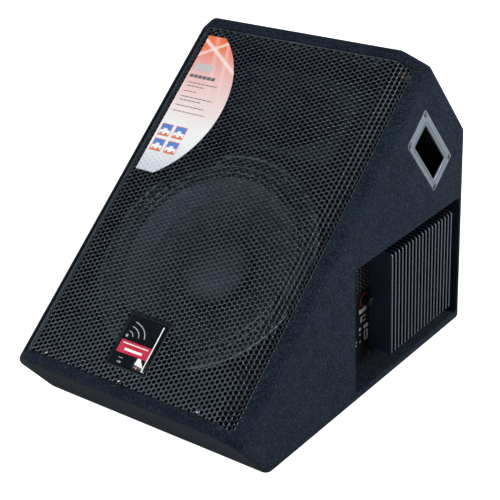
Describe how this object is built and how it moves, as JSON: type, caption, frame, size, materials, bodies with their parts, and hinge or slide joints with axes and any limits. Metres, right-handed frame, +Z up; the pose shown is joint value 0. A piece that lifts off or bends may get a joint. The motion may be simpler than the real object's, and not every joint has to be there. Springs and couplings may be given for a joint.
{
  "type": "stage monitor wedge",
  "caption": "Carpeted floor monitor wedge with a folded perforated steel grille, woofer and horn behind it, side amplifier bay with finned heatsink, and recessed handles.",
  "frame": {"origin": "centre of the overall box at the level of the feet", "axes": "+Z up, -Y towards the listener at the low nose, +X towards the amplifier side"},
  "size_m": [0.453, 0.6506, 0.5244],
  "materials": {
    "carpet": "needle-punched dark felt carpet",
    "board": "birch plywood",
    "grille_steel": "satin black powder coat",
    "screw_steel": "zinc-plated steel",
    "black_plastic": "moulded black plastic",
    "badge_gloss": "glossy domed badge",
    "sticker_print": "printed orange to white fade",
    "basket_metal": "black painted pressed steel",
    "soft_rubber": "black rubber",
    "cone_paper": "ribbed paper cone",
    "coil_copper": "copper winding",
    "spider_cloth": "resin-dipped cloth",
    "magnet_ferrite": "ferrite",
    "plate_steel": "zinc-plated steel",
    "horn_plastic": "moulded black plastic",
    "handle_metal": "satin silver grey",
    "chassis_metal": "black painted steel",
    "sink_aluminium": "dark anodised aluminium",
    "ring_red": "red plastic",
    "board_green": "glass-fibre board"
  },
  "bodies": {
    "cabinet": {"side_panel_right": "board", "side_panel_left": "board", "floor_panel": "board", "back_panel": "board", "top_panel": "board", "nose_panel": "board", "baffle_board": "board", "amp_bay_front_wall": "board", "amp_bay_top_wall": "board", "amp_mount_frame": "board", "grille_batten_top": "board", "grille_batten_bottom": "board", "grille_battens_side": "board", "carpet_wrap": "carpet", "carpet_side_right": "carpet", "carpet_side_left": "carpet", "carpet_bay_lining": "carpet", "grille": "grille_steel", "grille_screws": "screw_steel", "badge_tray": "black_plastic", "badge_plate": "badge_gloss", "sticker": "sticker_print", "woofer_frame": "basket_metal", "woofer_gasket": "soft_rubber", "woofer_surround": "soft_rubber", "woofer_spider": "spider_cloth", "woofer_top_plate": "plate_steel", "woofer_magnet": "magnet_ferrite", "woofer_back_plate": "plate_steel", "woofer_screws": "screw_steel", "horn_flare": "horn_plastic", "horn_screws": "screw_steel", "compression_driver": "plate_steel", "driver_rear_cap": "black_plastic", "handle_plate_right": "handle_metal", "handle_plate_left": "handle_metal", "handle_cup_right": "black_plastic", "handle_cup_left": "black_plastic", "handle_screws": "screw_steel", "amp_chassis_plate": "chassis_metal", "heatsink": "sink_aluminium", "amp_screws": "screw_steel", "level_ring": "ring_red", "input_socket": "black_plastic", "link_jack": "black_plastic", "mains_inlet": "black_plastic", "switch_bezel": "black_plastic", "amp_circuit_board": "board_green", "mains_transformer": "coil_copper", "rubber_feet": "soft_rubber"},
    "woofer_motion": {"woofer_cone": "cone_paper", "dust_cap": "cone_paper", "voice_coil": "coil_copper"},
    "level_control": {"level_knob": "black_plastic"},
    "treble_control": {"treble_knob": "black_plastic"},
    "bass_control": {"bass_knob": "black_plastic"},
    "button": {"line_button": "black_plastic"},
    "latch": {"input_latch": "screw_steel"},
    "drawer": {"fuse_drawer": "black_plastic"},
    "rocker": {"power_rocker": "ring_red"}
  },
  "joints": [
    {"name": "cone_travel", "type": "slide", "parent": "cabinet", "child": "woofer_motion", "axis": [0, -0.6293, 0.7771], "range_m": [-0.004, 0.004], "stiffness_N_per_m": 8000},
    {"name": "level_turn", "type": "hinge", "parent": "cabinet", "child": "level_control", "pos_m": [0.177, 0.088, 0.134], "axis": [1, 0, 0], "range_deg": [-150, 150]},
    {"name": "treble_turn", "type": "hinge", "parent": "cabinet", "child": "treble_control", "pos_m": [0.177, 0.006, 0.139], "axis": [1, 0, 0], "range_deg": [-150, 150]},
    {"name": "bass_turn", "type": "hinge", "parent": "cabinet", "child": "bass_control", "pos_m": [0.177, 0.027, 0.139], "axis": [1, 0, 0], "range_deg": [-150, 150]},
    {"name": "line_button_press", "type": "slide", "parent": "cabinet", "child": "button", "axis": [-1, 0, 0], "range_m": [0, 0.0025], "stiffness_N_per_m": 400},
    {"name": "input_latch_press", "type": "slide", "parent": "cabinet", "child": "latch", "axis": [-1, 0, 0], "range_m": [0, 0.0015], "stiffness_N_per_m": 600},
    {"name": "fuse_drawer_pull", "type": "slide", "parent": "cabinet", "child": "drawer", "axis": [1, 0, 0], "range_m": [0, 0.012]},
    {"name": "power_rock", "type": "hinge", "parent": "cabinet", "child": "rocker", "pos_m": [0.174, 0.016, 0.092], "axis": [0, 1, 0], "range_deg": [-20, 0]}
  ]
}
